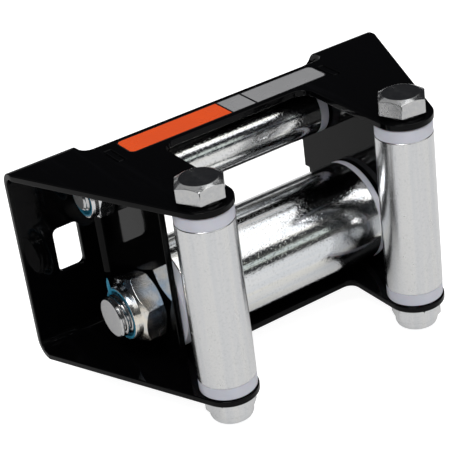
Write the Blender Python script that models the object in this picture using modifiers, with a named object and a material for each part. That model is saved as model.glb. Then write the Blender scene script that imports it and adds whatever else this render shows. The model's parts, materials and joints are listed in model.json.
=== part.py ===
"""Roller fairlead for a small winch.

A bent sheet-steel frame carries two horizontal rollers between two side plates
and two vertical rollers between the tips of its arms. Each roller is a tube on
two flanged bushes, and it spins on its own bolt, which a lock nut holds.

X runs along the horizontal rollers, the rope leaves towards -Y, and +Z is up.
The origin lies on the mounting face, midway between the two mounting slots.
All sizes are in metres.
"""

import math
from dataclasses import dataclass

import bmesh
import bpy
from mathutils import Euler, Matrix, Vector

# Clearances
SEAT_GAP = 0.0003
HOLE_CLEARANCE = 0.0003
CUT_MARGIN = 0.004

# Frame sheet
SHEET = 0.0024
BEND_RADIUS = 0.0060
FRAME_HEIGHT = 0.0769
EAR_DEPTH = 0.0077

# Arms that carry the vertical rollers
TIP_MARGIN = 0.0004
ROPE_WAY_WIDTH = 0.0638
ROLLER_CLEARANCE = 0.0068

# Strips that join the arms
TOP_STRIP_FRONT = 0.0273
TOP_STRIP_CORNER = 0.0055
BOTTOM_STRIP_FRONT = 0.0459
BOTTOM_STRIP_CORNER = 0.0037

# Cut that wraps over the top bend
TOP_CUT_BEYOND_SIDE_PLATE = 0.00515
TOP_CUT_DEPTH = 0.0108
TOP_CUT_CORNER = 0.0040
TOP_CUT_SILL = 0.0058
TOP_CUT_SILL_CORNER = 0.0028

# Window in the back wall
WINDOW_BOTTOM = -0.0145
WINDOW_CORNER = 0.0010

# Mounting slots
MOUNT_SPACING = 0.1238
MOUNT_SLOT_WIDTH = 0.0106
MOUNT_SLOT_HEIGHT = 0.0178
MOUNT_SLOT_CORNER = 0.0022
SLOT_TO_EDGE = 0.01345
SLOT_TO_SIDE_PLATE = 0.00845

# Side plates
SIDE_SHEET = 0.0024
SIDE_BEYOND_BOLT = 0.0164
SIDE_CORNER = 0.0010
SIDE_INTO_WINDOW = 0.0011
SIDE_TOP_CORNER = 0.0085
TOP_TAB_SETBACK = 0.0058
TOP_TAB_LENGTH = 0.0102
BOTTOM_TAB_START = 0.0336
BOTTOM_TAB_LENGTH = 0.0108
RELIEF_ABOVE_WINDOW_EDGE = 0.0060
RELIEF_BELOW_WINDOW_EDGE = 0.0004
RELIEF_DEPTH = 0.0025

# Rollers
LOWER_RADIUS = 0.0198
LOWER_REACH = 0.0333
LOWER_FLOOR_CLEARANCE = 0.0007
LOWER_TUBE_WALL = 0.0030
LOWER_FLANGE = 0.0033
UPPER_RADIUS = 0.0110
UPPER_SETBACK = 0.0007
UPPER_ROOF_CLEARANCE = 0.0030
VERTICAL_RADIUS = 0.0105
SMALL_TUBE_WALL = 0.0020
UPPER_FLANGE = 0.0041
VERTICAL_FLANGE = 0.0044
BUSH_SLEEVE = 0.0120
EDGE_BREAK = 0.0004

# Bolts and lock nuts
SMALL_BOLT_RADIUS = 0.0050
SMALL_ACROSS_FLATS = 0.0162
SMALL_HEAD_HEIGHT = 0.0074
SMALL_NUT_HEIGHT = 0.0092
SMALL_HEX_HEIGHT = 0.0070
SMALL_STICK_OUT = 0.0013
SMALL_RING_WALL = 0.0017
SMALL_POINT = 0.0013
LARGE_BOLT_RADIUS = 0.0078
LARGE_ACROSS_FLATS = 0.0234
LARGE_HEAD_HEIGHT = 0.0100
LARGE_NUT_HEIGHT = 0.0123
LARGE_HEX_HEIGHT = 0.0080
LARGE_STICK_OUT = 0.0041
LARGE_RING_WALL = 0.0014
LARGE_POINT = 0.0007
LIP_WALL = 0.0007
RING_SINK = 0.0004
CROWN_INSET = 0.0013
WASHER_FACE = 0.0010
NUT_TO_WALL = 0.0006
CHAMFER_SLOPE = math.tan(math.radians(27))

# How far each hexagon is turned, as a corner's angle from local +X in degrees
LOWER_HEX_TURN = 10
UPPER_HEX_TURN = 0
LEFT_HEAD_TURN = -2.7
RIGHT_HEAD_TURN = -9.2
LEFT_NUT_TURN = 39
RIGHT_NUT_TURN = 11

# Facets
BEND_STEPS = 8
ARC_STEPS = 20
CORNER_STEPS = 5
LARGE_STEPS = 40
SMALL_STEPS = 28
SMOOTH_ANGLE = math.radians(35)
AXIS_MARK = 0.02

# Lengths that follow from the sizes above
HALF_WIDTH = MOUNT_SPACING / 2 + MOUNT_SLOT_WIDTH / 2 + SLOT_TO_EDGE
HALF_HEIGHT = FRAME_HEIGHT / 2
CHANNEL_HALF = HALF_HEIGHT - SHEET
INNER_BEND = BEND_RADIUS - SHEET
SIDE_OUTSIDE = MOUNT_SPACING / 2 - MOUNT_SLOT_WIDTH / 2 - SLOT_TO_SIDE_PLATE
SIDE_INSIDE = SIDE_OUTSIDE - SIDE_SHEET
SIDE_DEPTH = LOWER_REACH + SIDE_BEYOND_BOLT
TOP_CUT_HALF = SIDE_OUTSIDE + TOP_CUT_BEYOND_SIDE_PLATE
TOP_TAB_START = TOP_CUT_DEPTH + TOP_TAB_SETBACK
ARM_TIP_RADIUS = VERTICAL_RADIUS + TIP_MARGIN
VERTICAL_OFFSET = ROPE_WAY_WIDTH / 2 + VERTICAL_RADIUS
VERTICAL_REACH = LOWER_REACH + LOWER_RADIUS + ROLLER_CLEARANCE + VERTICAL_RADIUS
UPPER_NUT_REACH = SHEET + SMALL_ACROSS_FLATS / 2 + NUT_TO_WALL
UPPER_REACH = max(UPPER_RADIUS + UPPER_SETBACK, UPPER_NUT_REACH)

PART_NAME = "roller_fairlead"
ALONG_X = Euler((0, math.pi / 2, 0))
ALONG_Z = Euler((0, 0, 0))


@dataclass(frozen=True)
class Fastener:
    """A hexagon bolt and its lock nut."""

    radius: float
    across_flats: float
    head_height: float
    nut_height: float
    hex_height: float
    stick_out: float
    ring_wall: float
    point: float

    @property
    def corner(self):
        """Radius to a corner of the hexagon."""
        return self.across_flats / math.sqrt(3)

    @property
    def ring_outer(self):
        """Outer radius of the nylon locking ring."""
        return self.radius + SEAT_GAP + self.ring_wall

    @property
    def ring_floor(self):
        """Height of the pocket's floor above the nut's seat."""
        return self.hex_height - RING_SINK


@dataclass(frozen=True)
class Line:
    """One bolt line: the roller on it, and the two plates that carry the bolt."""

    name: str
    centre: Vector
    turn: Euler
    inside: float
    outside: float
    radius: float
    wall: float
    flange: float
    steps: int
    fastener: Fastener
    head_turn: float
    nut_turn: float
    ends: tuple


SMALL_FASTENER = Fastener(
    SMALL_BOLT_RADIUS,
    SMALL_ACROSS_FLATS,
    SMALL_HEAD_HEIGHT,
    SMALL_NUT_HEIGHT,
    SMALL_HEX_HEIGHT,
    SMALL_STICK_OUT,
    SMALL_RING_WALL,
    SMALL_POINT,
)
LARGE_FASTENER = Fastener(
    LARGE_BOLT_RADIUS,
    LARGE_ACROSS_FLATS,
    LARGE_HEAD_HEIGHT,
    LARGE_NUT_HEIGHT,
    LARGE_HEX_HEIGHT,
    LARGE_STICK_OUT,
    LARGE_RING_WALL,
    LARGE_POINT,
)

LOWER_LINE = Line(
    name="lower",
    centre=Vector((0, -LOWER_REACH, LOWER_RADIUS + LOWER_FLOOR_CLEARANCE - CHANNEL_HALF)),
    turn=ALONG_X,
    inside=SIDE_INSIDE,
    outside=SIDE_OUTSIDE,
    radius=LOWER_RADIUS,
    wall=LOWER_TUBE_WALL,
    flange=LOWER_FLANGE,
    steps=LARGE_STEPS,
    fastener=LARGE_FASTENER,
    head_turn=LOWER_HEX_TURN,
    nut_turn=LOWER_HEX_TURN,
    ends=("right", "left"),
)
UPPER_LINE = Line(
    name="upper",
    centre=Vector((0, -UPPER_REACH, CHANNEL_HALF - UPPER_ROOF_CLEARANCE - UPPER_RADIUS)),
    turn=ALONG_X,
    inside=SIDE_INSIDE,
    outside=SIDE_OUTSIDE,
    radius=UPPER_RADIUS,
    wall=SMALL_TUBE_WALL,
    flange=UPPER_FLANGE,
    steps=SMALL_STEPS,
    fastener=SMALL_FASTENER,
    head_turn=UPPER_HEX_TURN,
    nut_turn=UPPER_HEX_TURN,
    ends=("right", "left"),
)


def vertical_line(side, sign, head_turn, nut_turn):
    """The bolt line of the vertical roller on one side."""
    return Line(
        name="vertical_" + side,
        centre=Vector((sign * VERTICAL_OFFSET, -VERTICAL_REACH, 0)),
        turn=ALONG_Z,
        inside=CHANNEL_HALF,
        outside=HALF_HEIGHT,
        radius=VERTICAL_RADIUS,
        wall=SMALL_TUBE_WALL,
        flange=VERTICAL_FLANGE,
        steps=SMALL_STEPS,
        fastener=SMALL_FASTENER,
        head_turn=head_turn,
        nut_turn=nut_turn,
        ends=("top", "bottom"),
    )


LINES = (
    LOWER_LINE,
    UPPER_LINE,
    vertical_line("left", -1, LEFT_HEAD_TURN, LEFT_NUT_TURN),
    vertical_line("right", 1, RIGHT_HEAD_TURN, RIGHT_NUT_TURN),
)


def clear_scene():
    """Remove what the startup file holds."""
    for obj in list(bpy.data.objects):
        bpy.data.objects.remove(obj)


def new_collection(name):
    """A collection in the scene."""
    collection = bpy.data.collections.new(name)
    bpy.context.scene.collection.children.link(collection)
    return collection


def new_material(name, colour, metallic, roughness):
    """A Principled material with one colour."""
    material = bpy.data.materials.new(name)
    material.use_nodes = True
    shader = material.node_tree.nodes["Principled BSDF"]
    shader.inputs["Base Color"].default_value = (*colour, 1)
    shader.inputs["Metallic"].default_value = metallic
    shader.inputs["Roughness"].default_value = roughness
    material.diffuse_color = (*colour, 1)
    return material


def new_empty(name, location, rotation, collection):
    """An empty that carries the pieces of one line."""
    empty = bpy.data.objects.new(name, None)
    empty.location = location
    empty.rotation_euler = rotation
    empty.empty_display_size = AXIS_MARK
    collection.objects.link(empty)
    return empty


def new_object(name, mesh, collection, parent=None):
    """An object that holds a mesh."""
    obj = bpy.data.objects.new(name, mesh)
    collection.objects.link(obj)
    obj.parent = parent
    return obj


def dress(obj, material):
    """Give an object its own copy of a material, and shade its round faces smooth."""
    own = material.copy()
    own.name = obj.name
    obj.data.materials.clear()
    obj.data.materials.append(own)
    obj.data.shade_smooth()
    obj.data.set_sharp_from_angle(angle=SMOOTH_ANGLE)


def make_cutter(obj):
    """Keep a helper object out of renders."""
    obj.hide_render = True
    obj.display_type = "WIRE"
    return obj


def add_boolean(obj, other, operation):
    """Cut, keep or join one object with another."""
    modifier = obj.modifiers.new(operation.lower() + " " + other.name, "BOOLEAN")
    modifier.operation = operation
    modifier.solver = "EXACT"
    modifier.object = other


def arc(centre, radius, start, end, steps):
    """Points on an arc, both ends included, with its angles in degrees."""
    angles = [math.radians(start + (end - start) * i / steps) for i in range(steps + 1)]
    return [(centre[0] + radius * math.cos(a), centre[1] + radius * math.sin(a)) for a in angles]


def rounded(corners, steps=CORNER_STEPS):
    """A closed outline from corners (x, y, radius), each rounded by its own radius."""
    points = []
    for index, (x, y, radius) in enumerate(corners):
        corner = Vector((x, y))
        if radius == 0:
            points.append((x, y))
            continue
        before = (Vector(corners[index - 1][:2]) - corner).normalized()
        after = (Vector(corners[(index + 1) % len(corners)][:2]) - corner).normalized()
        half = before.angle(after) / 2
        reach = radius / math.tan(half)
        centre = corner + (before + after).normalized() * radius / math.sin(half)
        first = corner + before * reach - centre
        last = corner + after * reach - centre
        sweep = first.angle_signed(last)
        for step in range(steps + 1):
            turned = first.copy()
            turned.rotate(Matrix.Rotation(-sweep * step / steps, 2))
            points.append(tuple(centre + turned))
    return points


def rectangle(left, right, low, high, radius=0.0):
    """A closed rectangular outline, its corners rounded where a radius is given."""
    corners = [(left, low, radius), (right, low, radius), (right, high, radius), (left, high, radius)]
    return rounded(corners)


def prism(name, outline, low, high, normal, collection):
    """A flat outline extruded from low to high along an axis.

    An outline across Z is in (x, y), one across Y in (x, z), and one across X in (y, z).
    """
    order = {"X": (2, 0, 1), "Y": (0, 2, 1), "Z": (0, 1, 2)}[normal]
    mesh = bpy.data.meshes.new(name)
    work = bmesh.new()
    ends = []
    for level in (low, high):
        points = [(x, y, level) for x, y in outline]
        ends.append([work.verts.new([point[axis] for axis in order]) for point in points])
        work.faces.new(ends[-1])
    first, last = ends
    for i in range(len(outline)):
        work.faces.new((first[i - 1], first[i], last[i], last[i - 1]))
    bmesh.ops.recalc_face_normals(work, faces=work.faces)
    work.to_mesh(mesh)
    work.free()
    return new_object(name, mesh, collection)


def rod(name, radius, length, steps, collection, first_corner=0.0):
    """A capped cylinder or prism along local Z, centred, with a corner at an angle in degrees."""
    mesh = bpy.data.meshes.new(name)
    work = bmesh.new()
    bmesh.ops.create_cone(
        work, cap_ends=True, segments=steps, radius1=radius, radius2=radius, depth=length
    )
    start = max(work.verts, key=lambda vert: (round(vert.co.x, 7), vert.co.z)).co
    turn = math.radians(first_corner) - math.atan2(start.y, start.x)
    bmesh.ops.rotate(work, matrix=Matrix.Rotation(turn, 3, "Z"), verts=work.verts)
    work.to_mesh(mesh)
    work.free()
    return make_cutter(new_object(name, mesh, collection))


def turned(name, profile, steps, closed, collection, parent):
    """A profile of (radius, z) points, outer side from top to bottom, spun about local Z."""
    mesh = bpy.data.meshes.new(name)
    work = bmesh.new()
    verts = [work.verts.new((radius, 0, z)) for radius, z in profile]
    pairs = list(zip(verts, verts[1:]))
    if closed:
        pairs.append((verts[-1], verts[0]))
    for pair in pairs:
        work.edges.new(pair)
    work.to_mesh(mesh)
    work.free()
    obj = new_object(name, mesh, collection, parent)
    screw = obj.modifiers.new("turn", "SCREW")
    screw.axis = "Z"
    screw.steps = steps
    screw.render_steps = steps
    screw.use_merge_vertices = True
    screw.merge_threshold = 0.000001
    screw.use_smooth_shade = False
    return obj


def fix_mesh(obj):
    """Turn an object's modifiers into its mesh, so that its faces can be shaded by angle."""
    bpy.context.view_layer.update()
    graph = bpy.context.evaluated_depsgraph_get()
    mesh = bpy.data.meshes.new_from_object(obj.evaluated_get(graph))
    mesh.name = obj.name
    obj.modifiers.clear()
    obj.data = mesh


def bent_sheet(name, collection):
    """The frame's channel before it is cut: an open bent surface with Solidify."""
    front = -(VERTICAL_REACH + ARM_TIP_RADIUS + CUT_MARGIN)
    low = arc((-BEND_RADIUS, BEND_RADIUS - HALF_HEIGHT), BEND_RADIUS, -90, 0, BEND_STEPS)
    high = arc((-BEND_RADIUS, HALF_HEIGHT - BEND_RADIUS), BEND_RADIUS, 0, 90, BEND_STEPS)
    path = [(front, -HALF_HEIGHT), *low, *high, (front, HALF_HEIGHT)]
    mesh = bpy.data.meshes.new(name)
    work = bmesh.new()
    left = [work.verts.new((-HALF_WIDTH, y, z)) for y, z in path]
    right = [work.verts.new((HALF_WIDTH, y, z)) for y, z in path]
    for i in range(len(path) - 1):
        work.faces.new((left[i], left[i + 1], right[i + 1], right[i]))
    work.to_mesh(mesh)
    work.free()
    obj = new_object(name, mesh, collection)
    solidify = obj.modifiers.new("sheet", "SOLIDIFY")
    solidify.thickness = SHEET
    solidify.offset = -1
    solidify.use_even_offset = True
    return obj


def plate_outline(strip_front, strip_corner):
    """Plan outline of the top or bottom plate, wider than the sheet at its sides and back."""
    ear = Vector((HALF_WIDTH, -EAR_DEPTH))
    tip = Vector((VERTICAL_OFFSET, -VERTICAL_REACH))
    to_ear = ear - tip
    tangent = math.degrees(
        math.atan2(to_ear.y, to_ear.x) - math.acos(ARM_TIP_RADIUS / to_ear.length)
    )
    nose = arc(tip, ARM_TIP_RADIUS, tangent, -180, ARC_STEPS)
    slope = (ear - Vector(nose[0])).normalized()
    beyond = ear + slope * CUT_MARGIN / slope.x
    inner = tip.x - ARM_TIP_RADIUS
    strip = rounded(
        [(-inner, -VERTICAL_REACH, 0), (-inner, -strip_front, strip_corner)]
        + [(inner, -strip_front, strip_corner), (inner, -VERTICAL_REACH, 0)]
    )
    half = [(beyond.x, SHEET + CUT_MARGIN), tuple(beyond), *nose]
    mirrored = [(-x, y) for x, y in reversed(half)]
    return half + strip[-2:0:-1] + mirrored


def plate_trim(level, outline, low, high, collection):
    """What is cut away around the top or the bottom plate."""
    reach = HALF_WIDTH + VERTICAL_REACH
    block = prism("trim_" + level, rectangle(-reach, reach, -reach, reach), low, high, "Z", collection)
    plan = prism("plan_" + level, outline, low - CUT_MARGIN, high + CUT_MARGIN, "Z", collection)
    add_boolean(block, make_cutter(plan), "DIFFERENCE")
    return block


def tip_hole(side, sign, collection):
    """The hole for a vertical bolt, through both plates."""
    length = FRAME_HEIGHT + 2 * CUT_MARGIN
    hole = rod("tip_hole_" + side, SMALL_BOLT_RADIUS + HOLE_CLEARANCE, length, SMALL_STEPS, collection)
    hole.location = (sign * VERTICAL_OFFSET, -VERTICAL_REACH, 0)
    return hole


def frame_cutters(collection):
    """Everything that is cut from the bent sheet."""
    far = HALF_HEIGHT + CUT_MARGIN
    top = plate_outline(TOP_STRIP_FRONT, TOP_STRIP_CORNER)
    bottom = plate_outline(BOTTOM_STRIP_FRONT, BOTTOM_STRIP_CORNER)
    cutters = [plate_trim("top", top, 0, far, collection)]
    cutters.append(plate_trim("bottom", bottom, -far, 0, collection))
    cutters.append(top_cut(collection))
    cutters.append(window_cut(collection))
    for side, sign in (("left", -1), ("right", 1)):
        cutters.append(mount_slot(side, sign, collection))
        cutters.extend(tab_slots(side, sign, collection))
        cutters.append(tip_hole(side, sign, collection))
    return cutters


def top_cut(collection):
    """The cut that wraps over the top bend, rounded in plan and where it meets the back wall."""
    half = TOP_CUT_HALF
    sill = HALF_HEIGHT - TOP_CUT_SILL
    over = HALF_HEIGHT + CUT_MARGIN
    plan = [(half, CUT_MARGIN, 0), (-half, CUT_MARGIN, 0)]
    plan += [(-half, -TOP_CUT_DEPTH, TOP_CUT_CORNER), (half, -TOP_CUT_DEPTH, TOP_CUT_CORNER)]
    rear = [(-half, sill, TOP_CUT_SILL_CORNER), (half, sill, TOP_CUT_SILL_CORNER)]
    rear += [(half, over, 0), (-half, over, 0)]
    cut = prism("top_cut", rounded(plan), 0, over + CUT_MARGIN, "Z", collection)
    reach = TOP_CUT_DEPTH + 2 * CUT_MARGIN
    shape = prism("top_cut_rear", rounded(rear), -reach, reach, "Y", collection)
    add_boolean(cut, make_cutter(shape), "INTERSECT")
    return cut


def window_cut(collection):
    """The rope window between the side plates, from its bottom edge up into the cut over the bend."""
    half = SIDE_OUTSIDE + SEAT_GAP
    outline = [(-half, WINDOW_BOTTOM, WINDOW_CORNER), (half, WINDOW_BOTTOM, WINDOW_CORNER)]
    outline += [(half, HALF_HEIGHT + CUT_MARGIN, 0), (-half, HALF_HEIGHT + CUT_MARGIN, 0)]
    return prism("window", rounded(outline), -SHEET - CUT_MARGIN, CUT_MARGIN, "Y", collection)


def mount_slot(side, sign, collection):
    """One upright mounting slot through the back wall."""
    middle = sign * MOUNT_SPACING / 2
    half = MOUNT_SLOT_WIDTH / 2
    rise = MOUNT_SLOT_HEIGHT / 2
    outline = rectangle(middle - half, middle + half, -rise, rise, MOUNT_SLOT_CORNER)
    return prism("mount_slot_" + side, outline, -SHEET - CUT_MARGIN, CUT_MARGIN, "Y", collection)


def tab_slots(side, sign, collection):
    """The slots that take one side plate's tabs, in the top and the bottom plate."""
    low, high = sorted((sign * (SIDE_INSIDE - SEAT_GAP), sign * (SIDE_OUTSIDE + SEAT_GAP)))
    slots = []
    for level, start, length, z in (
        ("top", TOP_TAB_START, TOP_TAB_LENGTH, CHANNEL_HALF),
        ("bottom", BOTTOM_TAB_START, BOTTOM_TAB_LENGTH, -CHANNEL_HALF),
    ):
        outline = rectangle(low, high, -(start + length + SEAT_GAP), SEAT_GAP - start)
        name = "tab_slot_" + level + "_" + side
        reach = SHEET + CUT_MARGIN
        slots.append(prism(name, outline, z - reach, z + reach, "Z", collection))
    return slots


def make_frame(parts, helpers, material):
    """The bent frame."""
    frame = bent_sheet("frame", parts)
    for cutter in frame_cutters(helpers):
        add_boolean(frame, make_cutter(cutter), "DIFFERENCE")
    fix_mesh(frame)
    dress(frame, material)
    return frame


def side_outline():
    """A side plate in (y, z): tabs at top and bottom, and a relief where it steps into the window."""
    back = -SHEET - SEAT_GAP
    into = SIDE_INTO_WINDOW - SHEET
    front = -SIDE_DEPTH
    edge = CHANNEL_HALF - SEAT_GAP
    tab_top = HALF_HEIGHT
    heel = INNER_BEND + SEAT_GAP
    relief = back - RELIEF_DEPTH
    relief_low = WINDOW_BOTTOM - RELIEF_BELOW_WINDOW_EDGE
    relief_high = WINDOW_BOTTOM + RELIEF_ABOVE_WINDOW_EDGE
    corners = [(back, -edge, heel), (back, relief_low, 0), (relief, relief_low, SIDE_CORNER)]
    corners += [(relief, relief_high, SIDE_CORNER), (into, relief_high, 0)]
    corners += [(into, edge, SIDE_TOP_CORNER), (-TOP_TAB_START, edge, 0), (-TOP_TAB_START, tab_top, 0)]
    top_end = -TOP_TAB_START - TOP_TAB_LENGTH
    corners += [(top_end, tab_top, 0), (top_end, edge, 0)]
    corners += [(front, edge, SIDE_CORNER), (front, -edge, SIDE_CORNER)]
    bottom_end = -BOTTOM_TAB_START - BOTTOM_TAB_LENGTH
    corners += [(bottom_end, -edge, 0), (bottom_end, -tab_top, 0)]
    corners += [(-BOTTOM_TAB_START, -tab_top, 0), (-BOTTOM_TAB_START, -edge, 0)]
    return rounded(corners)


def make_side_plate(side, sign, parts, helpers, material):
    """One side plate, drilled for the two horizontal bolts."""
    low, high = sorted((sign * SIDE_INSIDE, sign * SIDE_OUTSIDE))
    plate = prism("side_plate_" + side, side_outline(), low, high, "X", parts)
    for line in (LOWER_LINE, UPPER_LINE):
        radius = line.fastener.radius + HOLE_CLEARANCE
        name = line.name + "_hole_" + side
        drill = rod(name, radius, SIDE_SHEET + 2 * CUT_MARGIN, SMALL_STEPS, helpers)
        drill.location = line.centre + Vector(((low + high) / 2, 0, 0))
        drill.rotation_euler = line.turn
        add_boolean(plate, drill, "DIFFERENCE")
    fix_mesh(plate)
    dress(plate, material)
    return plate


def tube_profile(radius, wall, half):
    """A tube with its edges broken, from -half to half."""
    inner = radius - wall
    edge = EDGE_BREAK
    return [
        (radius - edge, half),
        (radius, half - edge),
        (radius, edge - half),
        (radius - edge, -half),
        (inner, -half),
        (inner, half),
    ]


def bush_profile(line):
    """A flanged bush: its flange face at zero, its sleeve pointing down into the tube."""
    edge = EDGE_BREAK
    bore = line.fastener.radius + SEAT_GAP
    sleeve = line.radius - line.wall - SEAT_GAP
    end = -line.flange - BUSH_SLEEVE
    return [
        (line.radius - edge, 0),
        (line.radius, -edge),
        (line.radius, edge - line.flange),
        (line.radius - edge, -line.flange),
        (sleeve, -line.flange),
        (sleeve, end),
        (bore, end),
        (bore, 0),
    ]


def bolt_profile(line):
    """A bolt from its chamfered head at the top down to its point."""
    fastener = line.fastener
    seat = line.outside + SEAT_GAP
    top = seat + fastener.head_height
    end = -(seat + fastener.nut_height + fastener.stick_out)
    crown = fastener.across_flats / 2 - CROWN_INSET
    rim = fastener.corner + EDGE_BREAK
    washer = fastener.across_flats / 2 - EDGE_BREAK
    return [
        (0, top),
        (crown, top),
        (rim, top - (rim - crown) * CHAMFER_SLOPE),
        (rim, seat + WASHER_FACE),
        (washer, seat + WASHER_FACE),
        (washer, seat),
        (fastener.radius, seat),
        (fastener.radius, end + fastener.point),
        (fastener.radius - fastener.point, end),
        (0, end),
    ]


def nut_profile(fastener):
    """A lock nut standing on its seat at zero, with a pocket for its ring under a rolled lip."""
    height = fastener.nut_height
    bore = fastener.radius + SEAT_GAP
    pocket = fastener.ring_outer + SEAT_GAP
    lip = pocket + LIP_WALL
    crown = fastener.across_flats / 2 - EDGE_BREAK
    rim = fastener.corner + EDGE_BREAK
    drop = (rim - crown) * CHAMFER_SLOPE
    shoulder = fastener.hex_height
    floor = fastener.ring_floor
    neck = (lip + pocket) / 2
    return [
        (pocket - LIP_WALL / 2, height),
        (neck, height),
        (lip, height - LIP_WALL),
        (lip, height - 2 * LIP_WALL),
        (neck, shoulder + LIP_WALL / 2),
        (max(neck, crown), shoulder),
        (rim, shoulder - drop),
        (rim, drop),
        (crown, 0),
        (bore, 0),
        (bore, floor),
        (pocket, floor),
        (pocket, height - LIP_WALL / 2),
    ]


def ring_profile(fastener):
    """The nylon ring in the nut's pocket, measured from the nut's seat."""
    low = fastener.ring_floor + SEAT_GAP
    high = fastener.nut_height - LIP_WALL / 2 - SEAT_GAP
    bore = fastener.radius + SEAT_GAP
    return [
        (fastener.ring_outer, high),
        (fastener.ring_outer, low),
        (bore, low),
        (bore, high),
    ]


def make_tube(line, spin, parts, material):
    """The tube of a roller, between the flanges of its two bushes."""
    half = line.inside - line.flange - 2 * SEAT_GAP
    profile = tube_profile(line.radius, line.wall, half)
    tube = turned(line.name + "_roller", profile, line.steps, True, parts, spin)
    fix_mesh(tube)
    dress(tube, material)


def make_bushes(line, spin, parts, material):
    """The two flanged bushes of a roller."""
    for end, tilt in zip(line.ends, (0, math.pi)):
        bush = turned(
            line.name + "_bush_" + end, bush_profile(line), line.steps, True, parts, spin
        )
        offset = line.inside - SEAT_GAP
        bush.location = (0, 0, offset * math.cos(tilt))
        bush.rotation_euler = (tilt, 0, 0)
        fix_mesh(bush)
        dress(bush, material)


def make_bolt(line, axle, parts, helpers, material):
    """The bolt: a turned blank, cut to a hexagon that only its head reaches."""
    bolt = turned(line.name + "_bolt", bolt_profile(line), SMALL_STEPS, False, parts, axle)
    length = 2 * (line.outside + line.fastener.head_height + line.fastener.nut_height + CUT_MARGIN)
    name = line.name + "_head_hexagon"
    hexagon = rod(name, line.fastener.corner, length, 6, helpers, line.head_turn)
    hexagon.parent = axle
    add_boolean(bolt, hexagon, "INTERSECT")
    fix_mesh(bolt)
    dress(bolt, material)


def make_nut(line, axle, parts, helpers, material):
    """The lock nut: a turned blank, cut to a hexagon that its collar doesn't reach."""
    nut = turned(line.name + "_nut", nut_profile(line.fastener), SMALL_STEPS, True, parts, axle)
    nut.location = (0, 0, -line.outside - SEAT_GAP)
    nut.rotation_euler = (math.pi, 0, 0)
    length = 2 * (line.fastener.nut_height + CUT_MARGIN)
    name = line.name + "_nut_hexagon"
    hexagon = rod(name, line.fastener.corner, length, 6, helpers, line.nut_turn)
    hexagon.parent = axle
    hexagon.location = nut.location
    add_boolean(nut, hexagon, "INTERSECT")
    fix_mesh(nut)
    dress(nut, material)


def make_ring(line, axle, parts, material):
    """The nylon locking ring in the nut."""
    profile = ring_profile(line.fastener)
    ring = turned(line.name + "_nut_ring", profile, SMALL_STEPS, True, parts, axle)
    ring.location = (0, 0, -line.outside - SEAT_GAP)
    ring.rotation_euler = (math.pi, 0, 0)
    fix_mesh(ring)
    dress(ring, material)


def main():
    """Build the fairlead."""
    clear_scene()
    parts = new_collection(PART_NAME)
    helpers = new_collection("cutters")
    coat = new_material("black_coat", (0.006, 0.006, 0.007), 0, 0.18)
    zinc = new_material("zinc_plate", (0.60, 0.60, 0.62), 1, 0.35)
    nylon = new_material("nylon", (0.50, 0.50, 0.60), 0, 0.45)
    blue_nylon = new_material("blue_nylon", (0.03, 0.17, 0.28), 0, 0.4)
    make_frame(parts, helpers, coat)
    for side, sign in (("left", -1), ("right", 1)):
        make_side_plate(side, sign, parts, helpers, coat)
    for line in LINES:
        axle = new_empty(line.name + "_axle", line.centre, line.turn, parts)
        spin = new_empty(line.name + "_spin", line.centre, line.turn, parts)
        make_tube(line, spin, parts, zinc)
        make_bushes(line, spin, parts, nylon)
        make_bolt(line, axle, parts, helpers, zinc)
        make_nut(line, axle, parts, helpers, zinc)
        make_ring(line, axle, parts, blue_nylon)


if __name__ == "__main__":
    main()
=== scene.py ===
"""Looks of a roller fairlead: black coated steel frame, zinc-plated rollers and bolts, nylon bushes.

Every round piece is built about its own bolt line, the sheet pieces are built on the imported
frame with their cut edges rounded, and all sizes are in metres.
"""

from __future__ import annotations

import json
import logging
import math
from dataclasses import dataclass
from enum import Enum
from functools import cache, cached_property
from typing import Callable, Iterable, Sequence

import bmesh
import bpy
from bpy.types import Material, Mesh, Node, NodeTree, Object
from bpy.types import NodeSocket as Socket
from mathutils import Matrix, Vector

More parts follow.
